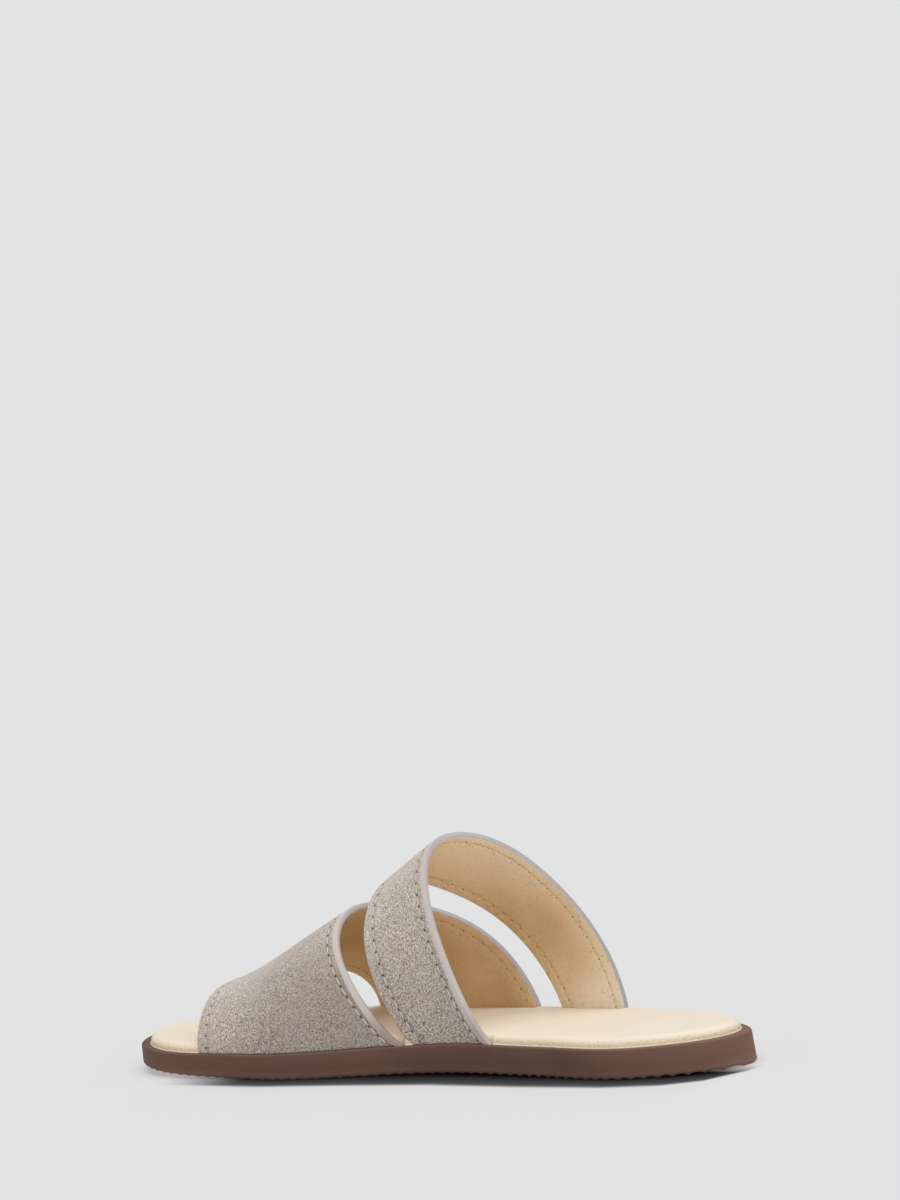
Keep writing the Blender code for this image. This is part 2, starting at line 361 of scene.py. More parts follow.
RUBBER_PAINTED_BOUNCE = (0.33, 0.19, 0.14)


def smooth(stations, values, at):
    """Natural cubic spline through (stations, values), read at the places `at`."""
    at = np.asarray(at, dtype=float)
    gaps = np.diff(stations)
    slopes = np.diff(values) / gaps
    system = np.diag(np.concatenate([[1.0], 2 * (gaps[:-1] + gaps[1:]), [1.0]]))
    system[np.arange(1, len(gaps)), np.arange(0, len(gaps) - 1)] = gaps[:-1]
    system[np.arange(1, len(gaps)), np.arange(2, len(gaps) + 1)] = gaps[1:]
    bends = np.linalg.solve(system, np.concatenate([[0.0], 6 * np.diff(slopes), [0.0]]))
    low = np.clip(np.searchsorted(stations, at, side="right") - 1, 0, len(gaps) - 1)
    gap = gaps[low]
    before = stations[low + 1] - at
    after = at - stations[low]
    return ((bends[low] * before ** 3 + bends[low + 1] * after ** 3) / (6 * gap)
            + (values[low] / gap - bends[low] * gap / 6) * before
            + (values[low + 1] / gap - bends[low + 1] * gap / 6) * after)


def read(table, columns, name, at):
    """A column of a table, smoothly read at the places `at` of its first column."""
    rows = np.array(table)
    return smooth(rows[:, 0], rows[:, columns.index(name)], at)


def rise(value, start, end):
    """0 up to start, 1 from end on, and a straight rise between them."""
    return np.clip((value - start) / (end - start), 0, 1)


def outline(angle, inset=0.0):
    """The sole's edge (x, y): an ellipse whose half-width is scaled by the share table. The angle
    runs from the heel (0) by the inner side to the toe (pi) and back; inset goes inwards and may
    differ from angle to angle."""
    def raw(a):
        station = (1 - np.cos(a)) / 2
        share = np.where(np.sin(a) >= 0, read(OUTLINE, OUTLINE_COLUMNS, "inner", station),
                         read(OUTLINE, OUTLINE_COLUMNS, "outer", station))
        bend = TOE_CURVE * rise(station, STATIONS["bend_start"], 1.0) ** 2
        return np.stack([SOLE_LENGTH * station, BALL_WIDTH * share * np.sin(a) + bend], axis=-1)
    tangent = raw(angle + 1e-3) - raw(angle - 1e-3)
    tangent /= np.linalg.norm(tangent, axis=-1, keepdims=True)
    inwards = np.stack([tangent[..., 1], -tangent[..., 0]], axis=-1)
    return raw(angle) + np.asarray(inset)[..., None] * inwards


def floor_line(station):
    """Height of the underside: flat at heel and ball, a low arch and the toe spring."""
    arch = np.sin(np.pi * rise(station, STATIONS["arch_start"], STATIONS["arch_end"])) ** 2
    return TOE_SPRING * rise(station, STATIONS["spring_start"], 1.0) ** 2 + ARCH_RISE * arch


def sole_top(station):
    """Height of the outsole's flat top face."""
    return floor_line(station) + OUTSOLE_THICKNESS * read(
        THICKNESS, THICKNESS_COLUMNS, "thickness", station)


def fluted(station):
    """Height of the underside with its flutes: between two cusps each one is a round arch, half as
    deep before the heel part as in it."""
    across = (station * SOLE_LENGTH / FLUTE_PITCH) % 1.0
    depth = FLUTE_DEPTH * (
        1 - 0.5 * rise(station, STATIONS["flutes_deep"], STATIONS["flutes_shallow"]))
    return floor_line(station) + depth * np.clip(1 - (2 * across - 1) ** 2, 0, 1) ** FLUTE_FULLNESS


# The origin lies on the floor under the middle of the outline, the heel's flare included.
outline_dense = outline(np.linspace(0, 2 * np.pi, 4000))
ORIGIN_SHIFT = np.append((outline_dense.min(axis=0) + outline_dense.max(axis=0)) / 2, 0.0)
ORIGIN_SHIFT[0] -= HEEL_FLARE / 2


def even_angles(steps):
    """Outline angles from heel to toe at even distances along the inner side, then mirrored back,
    so that each point has a partner straight across the foot."""
    dense = np.linspace(0, np.pi, 4000)
    line = outline(dense)
    length = np.append(0.0, np.cumsum(np.linalg.norm(np.diff(line, axis=0), axis=1)))
    half = np.interp(np.linspace(0, length[-1], steps + 1), length, dense)
    return np.concatenate([half, 2 * np.pi - half[-2:0:-1]])


def sole_ring(angles, inset, height, flare=0.0):
    """The outline moved inwards, at the height that the function gives for each station; flare
    moves the heel part back."""
    line = outline(angles, inset)
    station = line[:, 0] / SOLE_LENGTH
    line[:, 0] -= flare * (1 - rise(station, 0.0, STATIONS["flare_end"]))
    return np.column_stack([line, height(station)])


def rungs(ring, columns, height):
    """Fills a ring with rungs from the inner to the outer side; the height comes from the station
    and the place across, which is 1 at the inner and -1 at the outer edge."""
    half = len(ring) // 2
    inner = ring[:half + 1]
    outer = np.concatenate([ring[:1], ring[:half - 1:-1]])
    share = np.linspace(0, 1, columns + 1)[None, :, None]
    grid = inner[:, None] * (1 - share) + outer[:, None] * share
    inside = height(grid[..., 0] / SOLE_LENGTH, 1 - 2 * share[..., 0])
    grid[:, 1:-1, 2] = inside[:, 1:-1]
    return grid


def sheet_faces(rows, columns, first, round_rows=False):
    """Corner numbers of the quads of a grid whose points are numbered row by row from first."""
    i = np.arange(rows if round_rows else rows - 1)[:, None]
    j = np.arange(columns - 1)[None, :]
    following = (i + 1) % rows
    quads = np.stack([i * columns + j, following * columns + j,
                      following * columns + j + 1, i * columns + j + 1], axis=-1)
    return quads.reshape(-1, 4) + first


def make_piece(name, mesh, weld):
    """An object from a mesh: equal points are welded where weld says so, faces turned outwards."""
    shape = bmesh.new()
    shape.from_mesh(mesh)
    if weld:
        bmesh.ops.remove_doubles(shape, verts=shape.verts, dist=WELD)
        bmesh.ops.dissolve_degenerate(shape, edges=shape.edges, dist=WELD / 4)
    bmesh.ops.recalc_face_normals(shape, faces=shape.faces)
    shape.to_mesh(mesh)
    shape.free()
    mesh.shade_smooth()
    piece = bpy.data.objects.new(name, mesh)
    bpy.context.scene.collection.objects.link(piece)
    return piece


def sew(name, grids, marks=()):
    """Joins grids of points, given as (points, closed round or not), into one closed mesh: equal
    points are welded and all faces are turned outwards. After x, y and z each point may have
    further values, which the mesh keeps under the names in marks."""
    points = []
    faces = []
    count = 0
    for grid, closed in grids:
        faces.append(sheet_faces(grid.shape[0], grid.shape[1], count, closed))
        points.append(grid.reshape(-1, grid.shape[-1]))
        count += grid.shape[0] * grid.shape[1]
    points = np.concatenate(points)
    mesh = bpy.data.meshes.new(name)
    mesh.from_pydata((points[:, :3] - ORIGIN_SHIFT).tolist(), [], np.concatenate(faces).tolist())
    for mark, values in zip(marks, points[:, 3:].T):
        layer = mesh.attributes.new(mark, "FLOAT", "POINT")
        layer.data.foreach_set("value", values.astype(np.float32))
    return make_piece(name, mesh, True)


def outsole_mesh():
    """The wall's rings from the fluted edge to the top edge, closed by rungs below and above."""
    angles = even_angles(SOLE_STEPS)
    rings = [sole_ring(angles, WALL_ROUND / 2, fluted, HEEL_FLARE)]
    rings.append(sole_ring(angles, 0.0, lambda s: fluted(s) + WALL_ROUND / 3, HEEL_FLARE))
    for share in WALL_SHARES:
        rings.append(sole_ring(angles, 0.0, lambda s, k=share: floor_line(s) * (1 - k)
                               + sole_top(s) * k, HEEL_FLARE * (1 - share)))
    for turn in np.linspace(0, np.pi / 2, 6):
        rings.append(sole_ring(
            angles, WALL_ROUND * (1 - np.cos(turn)),
            lambda s, t=turn: sole_top(s) - WALL_ROUND * (1 - np.sin(t))))
    wall = np.stack(rings, axis=1)
    below = rungs(rings[0], 6, lambda s, across: fluted(s) + 0 * across)
    above = rungs(rings[-1], 6, lambda s, across: sole_top(s) + 0 * across)
    return sew("outsole_unit", [(wall, True), (below, False), (above, False)])


outsole = outsole_mesh()
rubber = Finish(bpy.data.materials.new("brown_rubber"))
rubber_cloud = rubber.noise(0.018, 3.0)
rubber_speck = rubber.noise(0.0007, 2.0, 0.6)
rubber_at_speck = rubber.ramp(rubber_speck, 0.45, 0.75)
rubber_at_toe = rubber.ramp(rubber.along("X"), 0.05, 0.125)
rubber_heel_painted_light = 1 - rubber.ramp(rubber.along("X"), -0.13, -0.07)
rubber_bounce_near_floor = 1 - rubber.ramp(rubber.along("Z"), 0.0006, 0.0050)
rubber_tone = rubber.mix(rubber.ramp(rubber_cloud, 0.3, 0.7), RUBBER_DARK, RUBBER_LIGHT)
rubber_tone = rubber.mix(rubber_at_speck * 0.20, rubber_tone, RUBBER_SPECK)
rubber_tone = rubber.mix(rubber_at_toe * 0.7, rubber_tone, RUBBER_TOE)
# Painted light: the wall is lighter towards the heel end, as where more light falls on it.
rubber_tone = rubber.mix(rubber_heel_painted_light * 0.35, rubber_tone, RUBBER_HEEL_PAINTED_LIGHT)
# Painted light: the wall's lowest few millimetres are lighter, standing in for light bounced up from
# the floor.
rubber_tone = rubber.mix(rubber_bounce_near_floor * 0.30, rubber_tone, RUBBER_PAINTED_BOUNCE)
outsole.data.materials.append(rubber.finish(
    Base_Color=rubber_tone, Roughness=0.56 + 0.16 * rubber_speck, Specular_IOR_Level=0.35,
    Normal=rubber.bump(rubber_speck + 0.6 * rubber_cloud, 0.00010, 0.5)))
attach(outsole, "root")
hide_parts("outsole")


# Insole. A thin foam bed wrapped in cream leather and cemented on the outsole: it comes close to the
# sole's edge, with a notch for each strap's foot, its upper edge is rolled and its sides are pebbled.
INSOLE_THICKNESS = 0.0034
INSOLE_CROWN = 0.0010
INSOLE_ROLL = 0.0036
STRAP_WALL = 0.0024
STRAP_INSET = 0.0014
CLEARANCE = 0.0003
HEEL_DISH = 0.0007
SIDE_HEIGHT = 0.0005
RIM_SIDES = 0.0015
RIM_ENDS = 0.0028
RIM_HEEL_SPREAD = 0.045
RIM_TOE_SPREAD = 0.11
NOTCH_STEP = 0.0004
NOTCH_BACK_ROOM = 0.0009
NOTCH_FRONT_ROOM = 0.0002
INSOLE_STEPS = 600
DISH_AT_HEEL, DISH_HEEL_SPREAD = 0.13, 0.08
DISH_AT_BALL, DISH_BALL_SPREAD, DISH_BALL_SHARE = 0.70, 0.09, 0.7
CREAM_DARK = (0.86, 0.755, 0.60)
CREAM_LIGHT = (0.92, 0.83, 0.69)
CREAM_SIDE = (0.85, 0.67, 0.43)
CREAM_PORE = (0.55, 0.40, 0.24)
# Each notch: 1 on the inner and 0 on the outer side, and its back and front ends as stations.
NOTCHES = (
    (1, 0.354, 0.484),
    (1, 0.502, 0.826),
    (0, 0.262, 0.367),
    (0, 0.409, 0.718),
)


def insole_edge(angles):
    """How far the insole stays inside the sole's edge: RIM_SIDES along the sides, growing by
    RIM_ENDS towards heel and toe as two exponentials, and a step inwards past each strap's foot."""
    station = (1 - np.cos(angles)) / 2
    edge = RIM_SIDES + RIM_ENDS * (
        np.exp(-station / RIM_HEEL_SPREAD) + np.exp((station - 1) / RIM_TOE_SPREAD))
    behind_strap = STRAP_INSET + STRAP_WALL + CLEARANCE
    x = station * SOLE_LENGTH
    for on_inner, back, front in NOTCHES:
        start = back * SOLE_LENGTH - NOTCH_BACK_ROOM
        end = front * SOLE_LENGTH + NOTCH_FRONT_ROOM
        notch = (rise(x, start, start + NOTCH_STEP) * (1 - rise(x, end, end + NOTCH_STEP))
                 * ((np.sin(angles) >= 0) == on_inner))
        edge = edge * (1 - notch) + behind_strap * notch
    return edge


def insole_mesh():
    """Rings up the side and over the rolled edge, which is a quarter of an oval, and a crowned top
    with a faint dish at the heel and under the ball, both as smooth bells. Each point carries how
    far down the side it lies, from 0 on the top to 1 at the bottom."""
    angles = even_angles(INSOLE_STEPS)
    edge = insole_edge(angles)
    roll_height = INSOLE_THICKNESS - SIDE_HEIGHT

    def ring(inset, height, down):
        line = sole_ring(angles, inset, height)
        return np.column_stack([line, np.full(len(line), down)])

    rings = [ring(edge, sole_top, 1.0)]
    for turn in np.linspace(0, np.pi / 2, 12):
        rings.append(ring(
            edge + INSOLE_ROLL * (1 - np.cos(turn)),
            lambda s, t=turn: sole_top(s) + CLEARANCE + SIDE_HEIGHT + roll_height * np.sin(t),
            1 - np.sin(turn)))

    def top(station, across):
        rim = 1 - across ** 2
        heel = np.exp(-((station - DISH_AT_HEEL) / DISH_HEEL_SPREAD) ** 2)
        ball = np.exp(-((station - DISH_AT_BALL) / DISH_BALL_SPREAD) ** 2)
        crown = INSOLE_CROWN * rim * np.sin(np.pi * np.clip(station, 0, 1))
        dish = HEEL_DISH * (heel + DISH_BALL_SHARE * ball) * rim ** 2
        return sole_top(station) + CLEARANCE + INSOLE_THICKNESS + crown - dish

    wall = np.stack(rings, axis=1)
    below = rungs(rings[0], 4, lambda s, across: sole_top(s) + 0 * across)
    return sew("insole_bed", [(wall, True), (below, False), (rungs(rings[-1], 30, top), False)],
               ("down_side",))


insole = insole_mesh()
cream = Finish(bpy.data.materials.new("cream_leather"))
cream_side = cream.ramp(cream.mark("down_side"), 0.10, 0.75)
cream_cloud = cream.noise(0.030, 3.0)
cream_pebble = cream.node("ShaderNodeTexVoronoi", {"feature": "SMOOTH_F1"}, {
    "Vector": cream.place, "Scale": 1300.0, "Smoothness": 0.6, "Randomness": 1.0}, "Distance")
cream_fine = cream.noise(0.0005, 2.0, 0.6)
cream_tone = cream.mix(cream.ramp(cream_cloud, 0.3, 0.75), CREAM_DARK, CREAM_LIGHT)
cream_tone = cream.mix(cream_side * 0.58, cream_tone, CREAM_SIDE)
cream_tone = cream.mix(cream_side * cream.ramp(cream_pebble, 0.35, 0.75) * 0.30, cream_tone,
                       CREAM_PORE)
insole.data.materials.append(cream.finish(
    Base_Color=cream_tone, Roughness=0.55 + 0.12 * cream_fine,
    Normal=cream.bump((1 - cream_pebble) * cream_side, 0.00020, 1.0,
                      cream.bump(cream_fine, 0.00005, 0.5))))
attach(insole, "root")
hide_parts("insole")


# Insole piping. A thin pale cord of the same leather, glued in the corner where the insole's side
# meets the outsole.
PIPING_RADIUS = 0.00032
PIPING_SIDES = 8
PIPING_TONE = (0.90, 0.77, 0.57, 1.0)


def piping_mesh():
    """A round section carried along the insole's lower edge and back to its start."""
    angles = even_angles(INSOLE_STEPS)
    edge = insole_edge(angles)
    rings = []
    for a in np.linspace(0, 2 * np.pi, PIPING_SIDES, endpoint=False):
        rings.append(sole_ring(
            angles, edge - PIPING_RADIUS * np.cos(a),
            lambda s, t=a: sole_top(s) + PIPING_RADIUS * (0.8 + np.sin(t))))
    grid = np.stack(rings + rings[:1], axis=1)
    return sew("insole_piping", [(grid, True)])


piping = piping_mesh()
piping_leather = Finish(bpy.data.materials.new("pale_piping"))
piping.data.materials.append(piping_leather.finish(
    Base_Color=PIPING_TONE, Roughness=0.6,
    Normal=piping_leather.bump(piping_leather.noise(0.0006, 1.0), 0.0001, 0.6)))
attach(piping, "root")


# Strap faces. The outer layer of each strap is a band of taupe suede, moulded over the last's top,
# with its feet cemented on the outsole beside the insole and its back edge skived smooth.
INSTEP_HEIGHT = 0.084
SUEDE_DEPTH = 0.00125
SUEDE_COLUMNS = 90
LAYER_CORNER = 0.0003
FOOT_SINK = 0.0005
STRAP_STEP = 0.0008
STITCH_IN = 0.0040
STITCH_PITCH = 0.0047
STITCH_TROUGH = 0.0014
SUEDE_HOLE = (0.00042, 0.00034)
SUEDE_DARK = (0.450, 0.372, 0.320)
SUEDE_LIGHT = (0.560, 0.480, 0.415)
NAP_BRUSHED = (0.70, 0.63, 0.56)
NAP_DARK = (0.125, 0.083, 0.058)
NAP_BRIGHT = (0.91, 0.81, 0.71)
SUEDE_PAINTED_SHADE_LOW = (0.235, 0.190, 0.165)
SUEDE_PAINTED_LIGHT_HIGH = (0.90, 0.83, 0.76)
SUEDE_PAINTED_SHADE_PATCH = (0.235, 0.185, 0.160)
SUEDE_TROUGH_PAINTED_SHADE = (0.20, 0.16, 0.13)
SUEDE_FOOT_PAINTED_SHADE = (0.040, 0.029, 0.024)
SKIVED_TONE = (0.680, 0.610, 0.565)
SKIVED_PAINTED_SHADE = (0.440, 0.350, 0.315)
SUEDE_HOLE_TONE = (0.030, 0.022, 0.018)
LAST_COLUMNS = ("station", "height", "ridge", "inner_fullness", "outer_fullness")
LAST = (
    (0.20, 1.113, -0.030, 1.61, 3.45),
    (0.30, 1.034, -0.040, 1.56, 3.05),
    (0.40, 0.978, -0.045, 1.50, 2.63),
    (0.50, 0.831, -0.030, 1.47, 2.25),
    (0.60, 0.630, 0.020, 1.49, 1.98),
    (0.70, 0.466, 0.060, 1.57, 1.80),
    (0.80, 0.314, 0.070, 1.67, 1.67),
    (0.90, 0.221, 0.060, 1.78, 1.53),
)
EDGE_COLUMNS = ("round", "rear_back", "rear_front", "front_back", "front_toe")
STRAP_EDGES = (
    (0.00, 0.354, 0.484, 0.502, 0.826),
    (0.25, 0.465, 0.567, 0.605, 0.844),
    (0.50, 0.479, 0.569, 0.626, 0.844),
    (0.75, 0.397, 0.514, 0.555, 0.743),
    (1.00, 0.262, 0.367, 0.409, 0.718),
)
strap_line = outline(np.linspace(0, 2 * np.pi, 2880, endpoint=False), STRAP_INSET)


def last_surface(station, turn):
    """Point on the top of the last: at each station a superellipse arch from the inner foot (turn
    0) over the ridge to the outer foot (1), whose fullness changes smoothly from side to side."""
    x = SOLE_LENGTH * station
    half = len(strap_line) // 2
    inner_foot = np.interp(x, strap_line[:half, 0], strap_line[:half, 1])
    outer_foot = np.interp(x, strap_line[half:, 0][::-1], strap_line[half:, 1][::-1])
    ridge = BALL_WIDTH * read(LAST, LAST_COLUMNS, "ridge", station)
    height = INSTEP_HEIGHT * read(LAST, LAST_COLUMNS, "height", station)
    cosine = np.cos(np.pi * turn)
    sine = np.clip(np.sin(np.pi * turn), 0, 1)
    outer_share = (1 - cosine) / 2
    power = (2 / read(LAST, LAST_COLUMNS, "inner_fullness", station) * (1 - outer_share)
             + 2 / read(LAST, LAST_COLUMNS, "outer_fullness", station) * outer_share)
    reach = np.where(cosine > 0, inner_foot - ridge, ridge - outer_foot)
    y = ridge + np.sign(cosine) * reach * np.abs(cosine) ** power
    return np.stack([x, y, sole_top(station) + height * sine ** power], axis=-1)


class Strap:
    """A strap's own surface, read by place: turn goes round the arch from foot to foot, and share
    goes from the back edge (0) to the front edge (1)."""

    def __init__(self, back_edge, front_edge):
        self.back_edge = back_edge
        self.front_edge = front_edge
        dense = np.linspace(0, 1, 6000)
        line = self.face(dense, 0.5)
        length = np.append(0.0, np.cumsum(np.linalg.norm(np.diff(line, axis=0), axis=1)))
        self.length = length[-1]
        self.even = lambda count: np.interp(np.linspace(0, length[-1], count), length, dense)

    def face(self, turn, share):
        """Point on the suede's face."""
        back = read(STRAP_EDGES, EDGE_COLUMNS, self.back_edge, turn)
        front = read(STRAP_EDGES, EDGE_COLUMNS, self.front_edge, turn)
        return last_surface(back * (1 - share) + front * share, turn)

    def frame(self, turn, share):
        """The outward normal, the direction round the arch and the direction to the front edge,
        from small steps each way."""
        step = 2e-4
        low = np.clip(turn - step, 0, 1)
        high = np.clip(turn + step, 0, 1)
        round_arch = self.face(high, share) - self.face(low, share)
        to_front = self.face(turn, share + step) - self.face(turn, share - step)
        normal = np.cross(round_arch, to_front)
        normal /= np.linalg.norm(normal, axis=-1, keepdims=True)
        round_arch /= np.linalg.norm(round_arch, axis=-1, keepdims=True)
        return normal, round_arch, np.cross(normal, round_arch)

    def width(self, turn):
        """Distance from the back edge to the front edge along the face."""
        shares = np.linspace(0, 1, 25)
        points = self.face(np.asarray(turn)[..., None], shares)
        return np.linalg.norm(np.diff(points, axis=-2), axis=-1).sum(axis=-1)

    def row(self, side, away):
        """Turn, share and running length of a line at the distance away from the back or front
        edge."""
        turn = np.linspace(0, 1, 3000)
        share = away / self.width(turn)
        if side == "front":
            share = 1 - share
        line = self.face(turn, share)
        steps = np.linalg.norm(np.diff(line, axis=0), axis=1)
        return turn, share, np.append(0.0, np.cumsum(steps))


strap_shapes = {
    "front_strap": Strap("front_back", "front_toe"),
    "rear_strap": Strap("rear_back", "rear_front"),
}
STRAP_MARKS = ("back_along", "back_away", "front_along", "front_away", "from_foot")


def closed_band(name, grid, marks=()):
    """Sews a band whose rows go round its section: its feet are carried down to FOOT_SINK below the
    outsole's top, and each end is filled across."""
    foot = grid[[0, -1]].copy()
    foot[..., 2] = sole_top(foot[..., 0] / SOLE_LENGTH) - FOOT_SINK
    grid = np.concatenate([foot[:1], grid, foot[1:]])
    half = grid.shape[1] // 2
    ends = [(np.stack([end[:half], end[::-1][:half]], axis=1), False) for end in grid[[0, -1]]]
    return sew(name, [(np.concatenate([grid, grid[:, :1]], axis=1), False)] + ends, marks)


def strap_layer(name, strap, outer_depth, inner_depth, columns):
    """One layer of a strap as a closed band: face, rounded edge, back and rounded edge. Each point
    carries its distances from the strap's edges and foot and its place along both stitch rows."""
    corner = LAYER_CORNER
    turn = strap.even(int(strap.length / STRAP_STEP))
    width = strap.width(turn)
    arc = np.linspace(0, np.pi / 2, 4)
    profile = [(share, 0.0, outer_depth) for share in np.linspace(0, 1, columns)]
    for a in arc[1:]:
        profile.append((1.0, corner * np.sin(a), outer_depth + corner * (1 - np.cos(a))))
    for a in arc:
        profile.append((1.0, corner * np.cos(a), inner_depth - corner * (1 - np.sin(a))))
    for share in np.linspace(1, 0, columns)[1:]:
        profile.append((share, 0.0, inner_depth))
    for a in arc[1:]:
        profile.append((0.0, -corner * np.sin(a), inner_depth - corner * (1 - np.cos(a))))
    for a in arc[:-1]:
        profile.append((0.0, -corner * np.cos(a), outer_depth + corner * (1 - np.sin(a))))
    along = [np.interp(turn, *strap.row(side, STITCH_IN)[::2]) for side in ("back", "front")]
    climb = np.interp(turn, *strap.row("back", width.min() / 2)[::2])
    from_foot = np.minimum(climb, climb[-1] - climb)
    columns_made = []
    for share, beyond, depth in profile:
        place = corner / width + share * (1 - 2 * corner / width)
        normal, round_arch, to_front = strap.frame(turn, place)
        points = strap.face(turn, place) - normal * depth + to_front * beyond
        away = place * width + beyond
        columns_made.append(np.column_stack(
            [points, along[0], away, along[1], width - away, from_foot]))
    return closed_band(name, np.stack(columns_made, axis=1), STRAP_MARKS)


def stitch_mask(finish, long_hole, wide_hole):
    """Two masks for both rows of a strap: the needle holes, which are ovals every STITCH_PITCH, and
    the shallow trough that the thread pulls into the face, STITCH_TROUGH to each side."""
    holes = []
    troughs = []
    for side in ("back", "front"):
        across = abs(finish.mark(f"{side}_away") - STITCH_IN)
        step = abs((finish.mark(f"{side}_along") / STITCH_PITCH).fract() - 0.5) * STITCH_PITCH
        distance = ((across / wide_hole) ** 2 + (step / long_hole) ** 2) ** 0.5
        holes.append(1 - finish.ramp(distance, 0.6, 1.3))
        troughs.append(1 - finish.ramp(across, 0.0, STITCH_TROUGH))
    return holes[0].at_least(holes[1]), troughs[0].at_least(troughs[1])


suede = Finish(bpy.data.materials.new("taupe_suede"))
suede_holes, suede_trough = stitch_mask(suede, *SUEDE_HOLE)
nap_fine = suede.noise(0.00038, 3.0, 0.62)
nap_mid = suede.noise(0.0030, 2.0, 0.6)
nap_cloud = suede.noise(0.022, 3.0, 0.55)
nap_patch = suede.ramp(suede.noise(0.009, 2.0), 0.36, 0.56)
nap_calm = (1 - suede_trough * 0.45) * (0.72 + 0.28 * nap_patch)
suede_height = suede.ramp(suede.mark("from_foot"), 0.0, 0.100)
suede_toe = 1 - suede.ramp(suede.mark("front_away"), 0.008, 0.040)
suede_shade_patch = (1 - suede.ramp(abs(suede.along("X") - 0.026), 0.006, 0.050)) * (
    1 - suede.ramp(abs(suede.along("Z") - 0.025), 0.004, 0.026))
suede_foot_shade = 1 - suede.ramp(suede.mark("from_foot"), 0.0, 0.0024)
suede_tone = suede.mix(suede.ramp(nap_cloud, 0.32, 0.70), SUEDE_DARK, SUEDE_LIGHT)
suede_tone = suede.mix(suede.ramp(nap_mid, 0.35, 0.75) * 0.20, suede_tone, NAP_BRUSHED)
suede_tone = suede.mix((1 - suede.ramp(nap_fine, 0.35, 0.51)) * nap_calm * 0.94, suede_tone, NAP_DARK)
suede_tone = suede.mix(suede.ramp(nap_fine, 0.49, 0.64) * nap_calm * 0.90, suede_tone, NAP_BRIGHT)
# Painted shade: the suede is darker towards the feet, less so near the toe edge.
suede_tone = suede.mix((1 - suede_height) * 0.34 * (1 - suede_toe * 0.7), suede_tone, SUEDE_PAINTED_SHADE_LOW)
# Painted light: the suede is lighter towards the top of the arch, where the light from above falls.
suede_tone = suede.mix(suede_height * 0.34, suede_tone, SUEDE_PAINTED_LIGHT_HIGH)
# Painted shade: a broad, soft darker patch about the middle of the front strap, low on the arch.
suede_tone = suede.mix(suede_shade_patch * 0.30, suede_tone, SUEDE_PAINTED_SHADE_PATCH)
# Painted shade: the suede is darker in the shallow trough along each stitch row.
suede_tone = suede.mix(suede_trough * 0.18, suede_tone, SUEDE_TROUGH_PAINTED_SHADE)
# Painted shade: a dark line along each foot, where the suede meets the outsole.
suede_tone = suede.mix(suede_foot_shade * 0.85, suede_tone, SUEDE_FOOT_PAINTED_SHADE)
skived = suede.mark("back_away") - 0.0010 * (1 - suede.ramp(suede.mark("from_foot"), 0.004, 0.035))
skived = 1 - suede.ramp(skived, 0.00145, 0.00195)
# Painted shade: the skived band is darker near the feet, less so on the rear strap.
skived_foot_shade = (1 - suede.ramp(suede.mark("from_foot"), 0.0055, 0.0195)) * (
    0.6 + 0.4 * suede.ramp(suede.along("X"), -0.030, -0.008))
skived_tone = suede.mix(skived_foot_shade, SKIVED_TONE, SKIVED_PAINTED_SHADE)
suede_tone = suede.mix(skived * 0.94, suede_tone, skived_tone)
suede_tone = suede.mix(suede_holes, suede_tone, SUEDE_HOLE_TONE)
suede_material = suede.finish(
    Base_Color=suede_tone, Roughness=0.95, Specular_IOR_Level=0.15, Sheen_Weight=0.25,
    Sheen_Roughness=0.5,
    Normal=suede.bump((nap_fine * 0.8 + nap_mid * 0.6) * (1 - skived), 0.00030, 0.8,
                      suede.bump(1 - suede_trough - suede_holes, 0.00035, 1.0)))
for strap_name, strap in strap_shapes.items():
    outer = strap_layer(f"{strap_name}_suede", strap, 0.0, SUEDE_DEPTH, SUEDE_COLUMNS)
    outer.data.materials.append(suede_material)
    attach(outer, "root")
    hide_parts(strap_name)


# Strap linings. A layer of tan leather, smooth side inwards, cemented to the back of the suede and
# cut flush with it; its fine pores and flecks show most along the edges.
LAYER_GAP = 0.00002
LINING_COLUMNS = 60
LINING_HOLE = (0.00045, 0.00022)
LINING_DARK = (0.64, 0.400, 0.190)
LINING_LIGHT = (0.76, 0.525, 0.280)
LINING_PAINTED_LIGHT_REAR = (0.96, 0.81, 0.58)
LINING_PAINTED_BOUNCE = (0.98, 0.90, 0.76)
LINING_PAINTED_LIGHT_HIGH = (0.96, 0.80, 0.58)
LINING_PORE = (0.36, 0.20, 0.08)
LINING_FLECK = (0.97, 0.84, 0.62)
LINING_HOLE_TONE = (0.120, 0.066, 0.028)

lining = Finish(bpy.data.materials.new("tan_lining"))
lining_holes, lining_trough = stitch_mask(lining, *LINING_HOLE)
lining_grain = lining.noise(0.0007, 2.0, 0.6)
lining_cloud = lining.noise(0.020, 3.0)
lining_rear_light = 1 - lining.ramp(lining.along("X"), -0.068, -0.026)
lining_bounce_light = (1 - lining.ramp(lining.mark("from_foot"), 0.004, 0.024)) * (
    1 - lining.ramp(lining.along("X"), -0.050, -0.020))
lining_light_high = lining.ramp(lining.along("Z"), 0.046, 0.080)
lining_light_by_back = 1 - lining.ramp(lining.mark("back_away"), 0.002, 0.012)
lining_edge = 1 - lining.ramp(lining.mark("back_away").at_most(lining.mark("front_away")),
                              0.0045, 0.0100)
lining_pores = 1 - lining.ramp(lining_grain, 0.30, 0.42)
lining_flecks = lining.ramp(lining_grain, 0.60, 0.70)
lining_tone = lining.mix(lining.ramp(lining_cloud, 0.3, 0.7), LINING_DARK, LINING_LIGHT)
# Painted light: the lining is lighter towards the heel, over the back of the rear strap.
lining_tone = lining.mix(lining_rear_light * 0.55, lining_tone, LINING_PAINTED_LIGHT_REAR)
